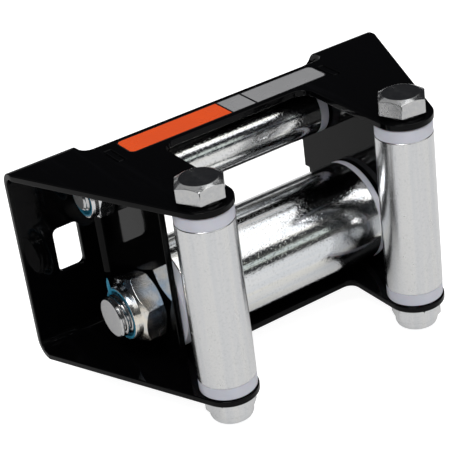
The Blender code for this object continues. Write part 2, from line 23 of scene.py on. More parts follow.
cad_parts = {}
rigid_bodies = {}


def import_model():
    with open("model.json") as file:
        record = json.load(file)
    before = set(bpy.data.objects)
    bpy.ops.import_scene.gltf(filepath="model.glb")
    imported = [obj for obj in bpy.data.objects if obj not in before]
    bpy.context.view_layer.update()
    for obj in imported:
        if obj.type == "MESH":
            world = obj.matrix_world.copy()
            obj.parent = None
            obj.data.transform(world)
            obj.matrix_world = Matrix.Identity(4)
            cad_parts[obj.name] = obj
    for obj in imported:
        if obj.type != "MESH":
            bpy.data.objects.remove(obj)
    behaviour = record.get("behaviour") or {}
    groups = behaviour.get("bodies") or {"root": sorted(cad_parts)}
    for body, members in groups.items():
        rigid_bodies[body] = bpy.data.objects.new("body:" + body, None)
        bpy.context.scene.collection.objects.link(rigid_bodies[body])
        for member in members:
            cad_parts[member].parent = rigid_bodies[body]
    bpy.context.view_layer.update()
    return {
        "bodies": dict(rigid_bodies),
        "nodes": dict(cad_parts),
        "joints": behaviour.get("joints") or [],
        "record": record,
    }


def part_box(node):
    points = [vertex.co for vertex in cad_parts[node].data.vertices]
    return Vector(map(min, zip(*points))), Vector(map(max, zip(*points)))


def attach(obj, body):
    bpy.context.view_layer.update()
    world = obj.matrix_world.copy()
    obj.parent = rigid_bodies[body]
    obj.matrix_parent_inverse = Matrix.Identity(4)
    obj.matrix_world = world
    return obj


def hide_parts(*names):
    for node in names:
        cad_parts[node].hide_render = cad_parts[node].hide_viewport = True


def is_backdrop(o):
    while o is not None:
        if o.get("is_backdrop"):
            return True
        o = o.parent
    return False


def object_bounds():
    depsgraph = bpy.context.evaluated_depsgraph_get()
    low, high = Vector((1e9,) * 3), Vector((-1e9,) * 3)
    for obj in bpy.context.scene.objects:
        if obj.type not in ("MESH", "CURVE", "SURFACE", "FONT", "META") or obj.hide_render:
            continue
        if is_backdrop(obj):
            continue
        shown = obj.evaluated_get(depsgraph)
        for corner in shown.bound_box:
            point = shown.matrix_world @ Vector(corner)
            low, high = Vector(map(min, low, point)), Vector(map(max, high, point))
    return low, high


LOG = logging.getLogger("roller_fairlead")

Colour = tuple[float, float, float]
Point2 = tuple[float, float]
Point3 = tuple[float, float, float]
Ring = list[Point2]

MM = 0.001
MERGED = 0.002 * MM
GAP = 0.3 * MM
SHEET = 2.4 * MM
SEAM = 0.03 * MM
FULL_TURN = 2 * math.pi
ROUND_STEPS = 96
CHAMFER_SLOPE = math.tan(math.radians(27))
NOISE_CORE = (0.35, 0.65)
NOISE_BODY = (0.3, 0.7)
WHITE = (1, 1, 1, 1)


class Side(Enum):
    """The two sides of the frame, with their sign along X."""

    LEFT = -1
    RIGHT = 1

    @property
    def word(self) -> str:
        """The side's name as the nodes write it."""
        return self.name.lower()


class Way(Enum):
    """The direction of a bolt line, with the names of its two ends."""

    ALONG_X = ("left", "right")
    ALONG_Z = ("top", "bottom")

    @property
    def matrix(self) -> Matrix:
        """The turn from local Z to the line."""
        return Matrix.Rotation(math.pi / 2, 4, "Y") if self is Way.ALONG_X else Matrix.Identity(4)

    @property
    def axis(self) -> int:
        """The index of the world axis along the line."""
        return 0 if self is Way.ALONG_X else 2


class Graph:
    """A short hand for building a node tree."""

    def __init__(self, tree: NodeTree) -> None:
        """Keep the tree that the nodes go into."""
        self.tree = tree

    def feed(self, node: Node, values: dict[str | int, object]) -> None:
        """Set a node's inputs.

        Args:
            node: The node.
            values: Input values by name or index. A socket given here is linked.
        """
        for key, value in values.items():
            if isinstance(value, Socket):
                self.tree.links.new(value, node.inputs[key])
            else:
                node.inputs[key].default_value = value

    def node(self, kind: str, values: dict[str | int, object], **settings: object) -> Node:
        """Add a node.

        Args:
            kind: The node's type, without the ShaderNode at its start.
            values: Input values, as feed takes them.
            settings: Properties of the node itself.

        Returns:
            The new node.
        """
        made = self.tree.nodes.new("ShaderNode" + kind)
        for name, value in settings.items():
            setattr(made, name, value)
        self.feed(made, values)
        return made

    def math(self, operation: str, *values: float | Socket) -> Socket:
        """Combine two or three values."""
        return self.node("Math", dict(enumerate(values)), operation=operation).outputs[0]

    def mix(self, share: Socket, first: Colour | Socket, second: Colour) -> Socket:
        """Mix two colours by the share of the second one."""
        start = first if isinstance(first, Socket) else (*first, 1)
        return self.node("Mix", {0: share, 6: start, 7: (*second, 1)}, data_type="RGBA").outputs[2]

    def range(self, value: Socket, old: Point2, new: Point2 = (0.0, 1.0)) -> Socket:
        """Map a value from an old range to a new one, held at both ends."""
        return self.node("MapRange", dict(enumerate((value, *old, *new)))).outputs[0]

    def noise(self, at: Socket, scale: Socket, detail: float, rough: float = 0.5) -> Socket:
        """Give the value of a noise texture."""
        values = {"Vector": at, "Scale": scale, "Detail": detail, "Roughness": rough}
        return self.node("TexNoise", values).outputs["Fac"]

    def bump(self, height: Socket, depth: float) -> Socket:
        """Give the normal of a bumpy surface."""
        return self.node("Bump", {"Height": height, "Distance": depth}).outputs[0]


def open_group(name: str, inputs: dict[str, float]) -> tuple[Graph, dict[str, Socket]]:
    """Start a shader node group that takes a vector and numbers.

    Args:
        name: The group's name.
        inputs: The number inputs and their usual values.

    Returns:
        A graph for the group, and its inputs as the nodes inside see them.
    """
    tree = bpy.data.node_groups.new(name, "ShaderNodeTree")
    tree.interface.new_socket("Vector", in_out="INPUT", socket_type="NodeSocketVector")
    for label, value in inputs.items():
        socket = tree.interface.new_socket(label, in_out="INPUT", socket_type="NodeSocketFloat")
        socket.default_value = value
    return Graph(tree), dict(tree.nodes.new("NodeGroupInput").outputs.items())


def close_group(graph: Graph, results: dict[str, Socket]) -> NodeTree:
    """Give a shader node group its outputs.

    Args:
        graph: The group's graph.
        results: The number that each output gives.

    Returns:
        The group.
    """
    for label in results:
        graph.tree.interface.new_socket(label, in_out="OUTPUT", socket_type="NodeSocketFloat")
    graph.feed(graph.tree.nodes.new("NodeGroupOutput"), results)
    return graph.tree


@cache
def drawn_grain() -> NodeTree:
    """Drawn metal: fine lines and long soft streaks along local Z, and fine speckle.

    Returns:
        The group, built once.
    """
    sizes = {
        "Line Scale": 2600.0,
        "Stretch": 0.03,
        "Speckle Scale": 1500.0,
        "Streak Scale": 300.0,
        "Dot Height": 1.0,
    }
    line_height = 0.45
    spot_range = (0.54, 0.74)
    graph, source = open_group("drawn_grain", sizes)
    squash = graph.node("CombineXYZ", {0: 1.0, 1: 1.0, 2: source["Stretch"]}).outputs[0]
    scaled = graph.node("VectorMath", {0: source["Vector"], 1: squash}, operation="MULTIPLY")
    along = scaled.outputs[0]
    lines = graph.noise(along, source["Line Scale"], detail=3.0)
    speckle = graph.noise(source["Vector"], source["Speckle Scale"], detail=1.5, rough=0.55)
    spots = graph.range(speckle, spot_range)
    dots = graph.math("MULTIPLY", spots, source["Dot Height"])
    results = {
        "Height": graph.math("MULTIPLY_ADD", lines, line_height, dots),
        "Streaks": graph.noise(along, source["Streak Scale"], detail=2.0),
        "Speckle": spots,
    }
    return close_group(graph, results)


@cache
def powder_peel() -> NodeTree:
    """Cured powder: a soft orange peel on a low swell, and slow waves in its gloss.

    Returns:
        The group, built once.
    """
    sizes = {"Peel Scale": 700.0, "Swell Scale": 130.0, "Wave Scale": 45.0}
    swell_height = 3.0
    graph, source = open_group("powder_peel", sizes)
    peel = graph.noise(source["Vector"], source["Peel Scale"], detail=1.5)
    swell = graph.noise(source["Vector"], source["Swell Scale"], detail=1.0)
    results = {
        "Height": graph.math("MULTIPLY_ADD", swell, swell_height, peel),
        "Waves": graph.noise(source["Vector"], source["Wave Scale"], detail=2.0),
    }
    return close_group(graph, results)


@cache
def handling_marks() -> NodeTree:
    """Faint hairline rubs and specks of dust.

    Returns:
        The group, built once.
    """
    sizes = {"Rub Scale": 260.0, "Dust Scale": 3200.0}
    rub_turn, rub_stretch = (0.5, 0.9, 0.3), (1.0, 0.04, 1.0)
    rub_range, dust_range = (0.58, 0.72), (0.16, 0.05)
    graph, source = open_group("handling_marks", sizes)
    turn = {"Vector": source["Vector"], "Rotation": rub_turn, "Scale": rub_stretch}
    turned = graph.node("Mapping", turn).outputs[0]
    rubs = graph.noise(turned, source["Rub Scale"], detail=5.0, rough=0.7)
    specks = {"Vector": source["Vector"], "Scale": source["Dust Scale"]}
    dust = graph.node("TexVoronoi", specks).outputs["Distance"]
    results = {"Rubs": graph.range(rubs, rub_range), "Dust": graph.range(dust, dust_range)}
    return close_group(graph, results)


def new_material(name: str) -> tuple[Material, Graph, Node]:
    """Start a material.

    Args:
        name: The material's name.

    Returns:
        The material, a graph for its tree, and its Principled node.
    """
    material = bpy.data.materials.new(name)
    material.use_nodes = True
    return material, Graph(material.node_tree), material.node_tree.nodes["Principled BSDF"]


def place_effect(graph: Graph, effect: NodeTree, values: dict[str, float]) -> dict[str, Socket]:
    """Put a shared group into a material, and give its outputs by name."""
    where = graph.node("TexCoord", {}).outputs["Object"]
    return dict(graph.node("Group", {"Vector": where, **values}, node_tree=effect).outputs.items())


@dataclass(frozen=True)
class PowderCoat:
    """Gloss black powder coat."""

    name: str = "black_coat"
    slot: str = "black_coat"
    colour: Colour = (0.0009, 0.0009, 0.0011)
    rubbed: Colour = (0.004, 0.004, 0.0048)
    gloss: Point2 = (0.03, 0.08)
    peel_depth: float = 0.008 * MM
    peel_scale: float = 420.0
    rub_shade: float = 0.35
    rub_roughness: float = 0.06
    ior: float = 1.2

    def build(self) -> Material:
        """Build the finish with orange peel, uneven gloss and faint rubs.

        Returns:
            The material.
        """
        material, graph, shader = new_material(self.name)
        peel = place_effect(graph, powder_peel(), {"Peel Scale": self.peel_scale})
        rubs = place_effect(graph, handling_marks(), {})["Rubs"]
        touched = graph.math("MULTIPLY", rubs, self.rub_shade)
        gloss = graph.range(peel["Waves"], NOISE_CORE, self.gloss)
        looks = {
            "Base Color": graph.mix(touched, self.colour, self.rubbed),
            "Roughness": graph.math("MULTIPLY_ADD", rubs, self.rub_roughness, gloss),
            "Normal": graph.bump(peel["Height"], self.peel_depth),
            "IOR": self.ior,
        }
        graph.feed(shader, looks)
        return material


@dataclass(frozen=True)
class ZincPlate:
    """Bright zinc plate over drawn or machined steel."""

    name: str
    slot: str = "zinc_plate"
    bright: Colour = (0.665, 0.668, 0.675)
    cool: Colour = (0.635, 0.642, 0.655)
    warm: Colour = (0.69, 0.69, 0.685)
    pit: Colour = (0.44, 0.45, 0.46)
    pit_share: float = 0.35
    roughness: Point2 = (0.09, 0.17)
    rub_roughness: float = 0.10
    grain_depth: float = 0.018 * MM
    stretch: float = 0.03
    speckle_scale: float = 1500.0
    streak_scale: float = 380.0
    dot_height: float = 0.8

    def build(self) -> Material:
        """Build the finish with grain, speckle and the faint colours of the passivation.

        Returns:
            The material.
        """
        material, graph, shader = new_material(self.name)
        values = {
            "Stretch": self.stretch,
            "Speckle Scale": self.speckle_scale,
            "Streak Scale": self.streak_scale,
            "Dot Height": self.dot_height,
        }
        grain = place_effect(graph, drawn_grain(), values)
        rubs = place_effect(graph, handling_marks(), {})["Rubs"]
        tint = graph.node("ValToRGB", {"Fac": grain["Streaks"]})
        tint.color_ramp.elements.new(0.5)
        stops = ((0.36, self.cool), (0.5, self.bright), (0.64, self.warm))
        for element, (place, colour) in zip(tint.color_ramp.elements, stops):
            element.position = place
            element.color = (*colour, 1)
        pits = graph.math("MULTIPLY", grain["Speckle"], self.pit_share)
        rough = graph.range(grain["Streaks"], NOISE_BODY, self.roughness)
        looks = {
            "Base Color": graph.mix(pits, tint.outputs["Color"], self.pit),
            "Roughness": graph.math("MULTIPLY_ADD", rubs, self.rub_roughness, rough),
            "Normal": graph.bump(grain["Height"], self.grain_depth),
            "Metallic": 1.0,
        }
        graph.feed(shader, looks)
        return material


@dataclass(frozen=True)
class Plastic:
    """Nylon, or printed film, with a fine moulded or rolled surface."""

    name: str
    slot: str
    colour: Colour
    shade: Colour
    roughness: Point2 = (0.30, 0.45)
    dust_roughness: float = 0.06
    texture_depth: float = 0.004 * MM
    texture_scale: float = 900.0
    cloud_scale: float = 90.0
    subsurface: float = 0.0
    subsurface_depth: float = 1.5 * MM

    def build(self) -> Material:
        """Build the finish with slow clouds in its colour, and dust.

        Returns:
            The material.
        """
        material, graph, shader = new_material(self.name)
        values = {"Peel Scale": self.texture_scale, "Wave Scale": self.cloud_scale}
        peel = place_effect(graph, powder_peel(), values)
        dust = place_effect(graph, handling_marks(), {})["Dust"]
        cloud = graph.range(peel["Waves"], NOISE_CORE)
        rough = graph.range(peel["Waves"], NOISE_BODY, self.roughness)
        looks = {
            "Base Color": graph.mix(cloud, self.colour, self.shade),
            "Roughness": graph.math("MULTIPLY_ADD", dust, self.dust_roughness, rough),
            "Normal": graph.bump(peel["Height"], self.texture_depth),
            "Subsurface Weight": self.subsurface,
            "Subsurface Scale": self.subsurface_depth,
        }
        graph.feed(shader, looks)
        return material


def film(name: str, colour: Colour, shade: Colour) -> Plastic:
    """The finish of a printed film on the coated sheet."""
    rolled = {"roughness": (0.22, 0.34), "texture_depth": 0.002 * MM, "texture_scale": 1600.0}
    return Plastic(name, "black_coat", colour, shade, **rolled)


class Finish(Enum):
    """Every finish of the part."""

    COAT = PowderCoat()
    TUBE_ZINC = ZincPlate("zinc_tube", roughness=(0.16, 0.24))
    # The horizontal rollers' zinc: the tube zinc with a lower roughness, and base colours made lighter
    # as painted light, so that these rollers read brighter than the vertical ones.
    BRIGHT_ZINC = ZincPlate(
        "zinc_bright",
        bright=(0.76, 0.765, 0.77),
        cool=(0.70, 0.725, 0.75),
        warm=(0.78, 0.775, 0.74),
        roughness=(0.065, 0.12),
        grain_depth=0.028 * MM,
        dot_height=0.65,
    )
    BOLT_ZINC = ZincPlate(
        "zinc_bolt",
        bright=(0.52, 0.522, 0.525),
        cool=(0.49, 0.493, 0.50),
        warm=(0.545, 0.543, 0.535),
        pit=(0.38, 0.39, 0.40),
        roughness=(0.13, 0.2),
        stretch=1.0,
        speckle_scale=1900.0,
        streak_scale=700.0,
    )
    NUT_ZINC = ZincPlate(
        "zinc_nut",
        bright=(0.60, 0.62, 0.64),
        cool=(0.34, 0.45, 0.58),
        warm=(0.80, 0.75, 0.66),
        roughness=(0.15, 0.25),
        stretch=1.0,
        speckle_scale=1600.0,
        streak_scale=150.0,
    )
    CUT_END = ZincPlate(
        "zinc_cut_end",
        bright=(0.68, 0.68, 0.685),
        cool=(0.65, 0.652, 0.66),
        warm=(0.70, 0.697, 0.69),
        roughness=(0.42, 0.55),
        stretch=1.0,
        streak_scale=900.0,
    )
    NYLON = Plastic("nylon", "nylon", (0.60, 0.605, 0.67), (0.56, 0.565, 0.635), subsurface=0.15)
    BLUE_NYLON = Plastic(
        "blue_nylon", "blue_nylon", (0.025, 0.23, 0.37), (0.035, 0.28, 0.43), (0.2, 0.3)
    )
    ORANGE_FILM = film("label_orange", (0.66, 0.072, 0.012), (0.62, 0.066, 0.010))
    GREY_FILM = film("label_grey", (0.235, 0.235, 0.24), (0.22, 0.22, 0.225))
    BLACK_FILM = film("label_black", (0.006, 0.006, 0.007), (0.008, 0.008, 0.009))

    @cached_property
    def material(self) -> Material:
        """The finish's material, built when it is first asked for."""
        return self.value.build()


def new_piece(name: str, mesh: Mesh, material: Material) -> Object:
    """Put a mesh into the scene.

    Args:
        name: The name of the piece and its mesh.
        mesh: The mesh.
        material: Its material.

    Returns:
        The new object.
    """
    mesh.name = name
    mesh.materials.clear()
    mesh.materials.append(material)
    piece = bpy.data.objects.new(name, mesh)
    bpy.context.scene.collection.objects.link(piece)
    return piece


def declare(piece: Object, body: str = "frame", node: str = "") -> None:
    """Tell the frame what a finished piece is, and log it.

    Args:
        piece: The piece.
        body: The body that it rides on.
        node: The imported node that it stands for, if any.
    """
    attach(piece, body)
    if node:
        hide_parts(node)
    LOG.info("%s: %d faces", piece.name, len(piece.data.polygons))


def shade(mesh: Mesh, sharp_angle: float) -> None:
    """Shade a mesh smooth, but for edges sharper than an angle in degrees."""
    mesh.shade_smooth()
    mesh.set_sharp_from_angle(angle=math.radians(sharp_angle))


def keep_flats(piece: Object) -> None:
    """Shade a piece by its large faces, so that its flats look flat beside rounded edges."""
    weigh = piece.modifiers.new("flat faces stay flat", "WEIGHTED_NORMAL")
    weigh.keep_sharp = True


def mesh_of(work: bmesh.types.BMesh) -> Mesh:
    """Turn a bmesh into a mesh, and free it.

    Args:
        work: The bmesh.

    Returns:
        The mesh.
    """
    mesh = bpy.data.meshes.new("piece")
    work.to_mesh(mesh)
    work.free()
    return mesh


def ring_mesh(angles: Sequence[float], rings: Sequence[Ring], closed: bool = False) -> Mesh:
    """Skin a stack of rings about local Z.

    Args:
        angles: The angle of each point of a ring.
        rings: Radius and height at each angle, from the outside top downwards. A ring with one
            entry is a circle.
        closed: Whether the last ring joins the first one.

    Returns:
        The mesh.
    """
    work = bmesh.new()
    rows = []
    for ring in rings:
        if max(radius for radius, _ in ring) < MERGED:
            rows.append([work.verts.new((0, 0, ring[0][1]))] * len(angles))
            continue
        full = ring * len(angles) if len(ring) == 1 else ring
        points = [(r * math.cos(a), r * math.sin(a), z) for a, (r, z) in zip(angles, full)]
        rows.append([work.verts.new(point) for point in points])
    pairs = list(zip(rows, rows[1:]))
    if closed:
        pairs.append((rows[-1], rows[0]))
    for upper, lower in pairs:
        for i in range(len(angles)):
            corners = [upper[i - 1], upper[i], lower[i], lower[i - 1]]
            work.faces.new(list(dict.fromkeys(corners)))
    bmesh.ops.recalc_face_normals(work, faces=work.faces)
    mesh = mesh_of(work)
    shade(mesh, sharp_angle=40)
    return mesh


def turned_mesh(*corners: Point3) -> Mesh:
    """Turn a closed profile about local Z, given the radius, height and rounding of each corner."""
    angles = [FULL_TURN * step / ROUND_STEPS for step in range(ROUND_STEPS)]
    return ring_mesh(angles, [[point] for point in softened(corners)], closed=True)


def skin_mesh(sections: Sequence[Sequence[Point3]]) -> Mesh:
    """Skin a row of sections, and close both ends.

    Args:
        sections: The points round each section, as many in each.

    Returns:
        The mesh.
    """
    work = bmesh.new()
    rows = [[work.verts.new(point) for point in section] for section in sections]
    for lower, upper in zip(rows, rows[1:]):
        for i in range(len(lower)):
            work.faces.new((lower[i - 1], lower[i], upper[i], upper[i - 1]))
    work.faces.new(rows[0])
    work.faces.new(rows[-1])
    bmesh.ops.recalc_face_normals(work, faces=work.faces)
    return mesh_of(work)


def flat_mesh(outline: Sequence[Point2], low: float, high: float) -> Mesh:
    """Extrude a flat outline in (x, y) from low to high."""
    return skin_mesh([[(x, y, z) for x, y in outline] for z in (low, high)])


def add_skinned(name: str, sections: Sequence[Sequence[Point3]], finish: Finish) -> None:
    """Put a skinned piece on the frame.

    Args:
        name: The piece's name.
        sections: Its sections, as skin_mesh takes them.
        finish: Its finish.
    """
    mesh = skin_mesh(sections)
    shade(mesh, sharp_angle=60)
    declare(new_piece(name, mesh, finish.material))


def softened(corners: Sequence[Point3], steps: int = 5, closed: bool = True) -> list[Point2]:
    """A profile whose corners are rounded.

    Args:
        corners: Each corner and the radius that rounds it.
        steps: Steps in each rounded corner.
        closed: Whether the profile is a closed loop. The ends of an open one stay sharp.

    Returns:
        The points of the profile.
    """
    points: list[Point2] = []
    last = len(corners) - 1
    for index, (x, y, radius) in enumerate(corners):
        if radius == 0 or (not closed and index in (0, last)):
            points.append((x, y))
            continue
        corner = Vector((x, y))
        before = (Vector(corners[index - 1][:2]) - corner).normalized()
        after = (Vector(corners[(index + 1) % len(corners)][:2]) - corner).normalized()
        half = before.angle(after) / 2
        centre = corner + (before + after).normalized() * radius / math.sin(half)
        start = corner + before * radius / math.tan(half) - centre
        end = corner + after * radius / math.tan(half) - centre
        sweep = start.angle_signed(end)
        for step in range(steps + 1):
            spoke = start.copy()
            spoke.rotate(Matrix.Rotation(-sweep * step / steps, 2))
            points.append(tuple(centre + spoke))
    return points


@dataclass(frozen=True)
class Hexagon:
    """A hexagon's outline with rounded corners, as a radius at each angle."""

    across_flats: float
    turn: float
    corner_radius: float = 0.35 * MM
    corner_steps: int = 4
    flat_steps: int = 8

    @property
    def apothem(self) -> float:
        """Distance from the axis to a flat."""
        return self.across_flats / 2

    @property
    def arc_centre(self) -> float:
        """Distance from the axis to the centre of a corner's rounding."""
        return (self.apothem - self.corner_radius) / math.cos(math.pi / 6)

    @property
    def arc_end(self) -> float:
        """Angle from a corner at which its rounding meets the flat."""
        half = self.corner_radius * math.sin(math.pi / 6)
        return math.atan2(half, self.arc_centre + self.corner_radius * math.cos(math.pi / 6))

    @cached_property
    def angles(self) -> list[float]:
        """Angles that follow the corners closely and the flats loosely.

        Returns:
            The angles of the outline's points.
        """
        found = []
        flat = math.pi / 3 - 2 * self.arc_end
        for side in range(6):
            corner = math.radians(self.turn) + side * math.pi / 3
            spread = range(-self.corner_steps, self.corner_steps + 1)
            found += [corner + self.arc_end * step / self.corner_steps for step in spread]
            start = corner + self.arc_end
            found += [start + flat * step / self.flat_steps for step in range(1, self.flat_steps)]
        return found

    def radius(self, angle: float) -> float:
        """Measure the outline.

        Args:
            angle: An angle about the axis.

        Returns:
            Distance from the axis to the outline there.
        """
        off = (angle - math.radians(self.turn) + math.pi / 6) % (math.pi / 3) - math.pi / 6
        if abs(off) < self.arc_end:
            reach = self.arc_centre * math.sin(off)
            return self.arc_centre * math.cos(off) + math.sqrt(self.corner_radius**2 - reach**2)
        return self.apothem / math.cos(math.pi / 6 - abs(off))

    def ring(self, height: Callable[[float], float], rise: float, inset: float = 0.0) -> Ring:
        """Give the outline as a ring, at a rise above the height that its radius gives."""
        return [(radius - inset, height(radius) + rise) for radius in map(self.radius, self.angles)]


@dataclass(frozen=True)
class Thread:
    """A screw thread that ends in a chamfer, pointing down local Z."""

    radius: float
    pitch: float
    point: float
    depth_share: float = 0.55
    flank: float = 2.9
    crest: float = 0.25
    rows_per_turn: int = 12

    def _depth(self, phase: float) -> float:
        """Depth of the groove at a share of its pitch."""
        ramp = abs(phase % 1.0 - 0.5) * self.flank - self.crest
        return self.depth_share * self.pitch * (1 - min(1.0, max(0.0, ramp)))

    def rings(self, angles: Sequence[float], start: float, end: float) -> list[Ring]:
        """Build the thread from start down to end.

        Args:
            angles: The angles of the rings' points.
            start: Height where the thread starts.
            end: Height of the bolt's end.

        Returns:
            The rings, the last one on the edge of the end face.
        """
        rows = max(2, round((start - end) / self.pitch * self.rows_per_turn))
        made = []
        for row in range(rows + 1):
            height = start + (end - start) * row / rows
            turns = [height / self.pitch - angle / FULL_TURN for angle in angles]
            least = self.point - (height - end)
            made.append([(self.radius - max(self._depth(turn), least), height) for turn in turns])
        return made


@dataclass(frozen=True)
class Fastener:
    """Sizes of a hexagon bolt and its lock nut."""

    radius: float
    across_flats: float
    head_height: float
    nut_height: float
    hex_height: float
    stick_out: float
    ring_wall: float
    pitch: float
    point: float
    nut_finish: Finish
    collar_taper: float = 0.0
    neck_depth: float = 0.1 * MM
    brow_drop: float = 1.1 * MM
    brow_radius: float = 0.7 * MM
    nut_chamfer: float = 0.4 * MM
    nut_slope: float = CHAMFER_SLOPE
    lip_wall: float = 0.7 * MM
    lip_depth: float = 0.5 * MM
    lip_radius: float = 0.45 * MM
    lip_hook: float = 0.1 * MM
    neck_rise: float = 0.25 * MM
    neck_radius: float = 0.15 * MM
    lip_taper: float = 0.15 * MM
    mouth_radius: float = 0.08 * MM
    hook_radius: float = 0.05 * MM
    nut_floor: float = 0.4 * MM
    crown_inset: float = 1.3 * MM
    dish: float = 0.1 * MM
    dish_reach: float = 0.45
    dish_share: float = 0.8
    washer_face: float = 1.0 * MM
    washer_inset: float = 0.4 * MM
    end_step: float = 0.1 * MM
    end_dimple: float = 0.12 * MM
    dimple_reach: float = 0.3
    edge: float = 0.12 * MM


SMALL = Fastener(
    radius=5.0 * MM,
    across_flats=16.2 * MM,
    head_height=7.4 * MM,
    nut_height=9.2 * MM,
    hex_height=6.3 * MM,
    stick_out=1.3 * MM,
    ring_wall=1.7 * MM,
    pitch=1.5 * MM,
    point=1.3 * MM,
    nut_finish=Finish.TUBE_ZINC,
)
LARGE = Fastener(
    radius=7.8 * MM,
    across_flats=23.4 * MM,
    head_height=10.0 * MM,
    nut_height=12.3 * MM,
    hex_height=9.2 * MM,
    stick_out=4.1 * MM,
    ring_wall=1.4 * MM,
    pitch=2.0 * MM,
    point=0.7 * MM,
    nut_finish=Finish.NUT_ZINC,
    collar_taper=0.15 * MM,
    neck_depth=0.28 * MM,
    brow_drop=1.2 * MM,
    brow_radius=1.6 * MM,
    nut_chamfer=0.7 * MM,
    nut_slope=0.62,
)


@dataclass(frozen=True)
class BoltLine:
    """One roller on its bolt: tube, two bushes, bolt, lock nut and locking ring.

    The line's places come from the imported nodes, and its pieces are built about local Z.
    """

    name: str
    way: Way
    fastener: Fastener
    head_turn: float
    nut_turn: float
    tube_wall: float = 2.0 * MM
    tube_finish: Finish = Finish.TUBE_ZINC
    far_reach: float = 0.0
    far_trim: float = 0.0
    edge: float = 0.4 * MM
    tube_edge: float = 0.15 * MM
    flange_inset: float = 0.1 * MM
    flange_edge: float = 0.12 * MM
    bore_edge: float = 0.2 * MM
    ring_rim: float = 0.95 * MM
    ring_bevel: float = 0.15 * MM
    ring_seat: float = 0.05 * MM
    ring_slope: Point2 = (1.2 * MM, 1.5 * MM)
    slope_radius: float = 0.1 * MM

    def _add(self, part: str, mesh: Mesh, finish: Finish, body: str = "frame") -> None:
        """Put a piece on the line in place of its node.

        Args:
            part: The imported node's name, without the line's name before it.
            mesh: The piece's mesh, about local Z.
            finish: Its finish.
            body: The body that it rides on.
        """
        node = f"{self.name}_{part}"
        low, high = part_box(self.name + "_roller")
        piece = new_piece(node + "_looks", mesh, finish.material)
        piece.matrix_world = Matrix.Translation((low + high) / 2) @ self.way.matrix
        keep_flats(piece)
        declare(piece, body, node)

    def _reach(self, part: str, axis: int) -> Point2:
        """Lowest and highest place of a node along a world axis."""
        low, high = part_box(f"{self.name}_{part}")
        return low[axis], high[axis]

    def _span(self, part: str) -> Point2:
        """Measure a node along the line, from the tube's middle.

        Args:
            part: The node's name, without the line's name before it.

        Returns:
            Its lowest and highest place.
        """
        low, high = self._reach(part, self.way.axis)
        middle = sum(self._reach("roller", self.way.axis)) / 2
        return low - middle, high - middle

    def _radius(self, part: str) -> float:
        """Radius of a round node across the line."""
        low, high = self._reach(part, 1)
        return (high - low) / 2

    def build(self) -> None:
        """Build and dress every piece of the line."""
        roller = self.name + "_roller"
        self._add("roller", self._tube(), self.tube_finish, roller)
        for end in self.way.value:
            self._add("bush_" + end, self._bush(end), Finish.NYLON, roller)
        bolt = self._bolt()
        self._add("bolt", bolt, Finish.BOLT_ZINC)
        self._dull_end(bolt)
        self._add("nut", self._nut(), self.fastener.nut_finish)
        self._add("nut_ring", self._ring(), Finish.BLUE_NYLON)

    def _tube(self) -> Mesh:
        """Build the plated tube, with both edges rounded.

        Returns:
            Its mesh.
        """
        low, high = self._span("roller")
        high += self.far_reach
        outer = self._radius("roller")
        inner = outer - self.tube_wall
        return turned_mesh(
            (outer, high, self.edge),
            (outer, low, self.edge),
            (inner, low, self.tube_edge),
            (inner, high, self.tube_edge),
        )

    def _bush(self, end: str) -> Mesh:
        """Build a flanged bush, with its sleeve inside the tube.

        Args:
            end: The end of the line that it sits at.

        Returns:
            Its mesh.
        """
        tube_low, tube_high = self._span("roller")
        low, high = self._span("bush_" + end)
        tube = self._radius("roller")
        flange = tube - self.flange_inset
        bore = self.fastener.radius + GAP
        sleeve = tube - self.tube_wall - GAP
        if high > tube_high:
            face, inner, shoulder = high - self.far_trim, low, tube_high + self.far_reach + SEAM
        else:
            face, inner, shoulder = low, high, tube_low - SEAM
        return turned_mesh(
            (flange, face, self.edge),
            (flange, shoulder, self.flange_edge),
            (sleeve, shoulder, 0),
            (sleeve, inner, 0),
            (bore, inner, 0),
            (bore, face, self.bore_edge),
        )

    def _bolt(self) -> Mesh:
        """Build the bolt: chamfered hexagon head, plain shank and threaded end.

        Returns:
            Its mesh.
        """
        sizes = self.fastener
        end, top = self._span("bolt")
        seat = top - sizes.head_height
        low = seat + sizes.washer_face
        hexagon = Hexagon(sizes.across_flats, self.head_turn)
        crown = hexagon.apothem - sizes.crown_inset
        washer = hexagon.apothem - sizes.washer_inset
        edge = sizes.edge
        thread_start = end + sizes.stick_out + sizes.nut_height / 2
        bottom = end + sizes.end_dimple

        def crest(radius: float) -> float:
            """Height of the chamfer at a radius."""
            return top - max(0.0, radius - crown) * CHAMFER_SLOPE

        rings = [
            [(0, top - sizes.dish)],
            [(crown * sizes.dish_reach, top - sizes.dish * sizes.dish_share)],
            [(crown - 2 * edge, top)],
            [(crown, top - edge / 2)],
            hexagon.ring(crest, edge / 4, edge),
            hexagon.ring(crest, -edge),
            hexagon.ring(lambda _: low, edge),
            hexagon.ring(lambda _: low, 0.0, edge),
            [(washer, low)],
            [(washer, seat)],
            [(sizes.radius, seat)],
            [(sizes.radius, thread_start + sizes.pitch / 2)],
        ]
        thread = Thread(sizes.radius, sizes.pitch, sizes.point)
        rings += thread.rings(hexagon.angles, thread_start, end)
        rings.append([(radius - sizes.end_step, end) for radius, _ in rings[-1]])
        rings += [[(sizes.radius * sizes.dimple_reach, bottom)], [(0, bottom)]]
        return ring_mesh(hexagon.angles, rings)

    def _dull_end(self, bolt: Mesh) -> None:
        """Give the bolt's cut end its own finish.

        Args:
            bolt: The bolt's mesh, which has its first material.
        """
        bolt.materials.append(Finish.CUT_END.material)
        facing_down, depth = -0.9, 0.2 * MM
        limit = self._span("bolt")[0] + depth
        for face in bolt.polygons:
            if face.normal.z < facing_down and face.center.z < limit:
                face.material_index = 1

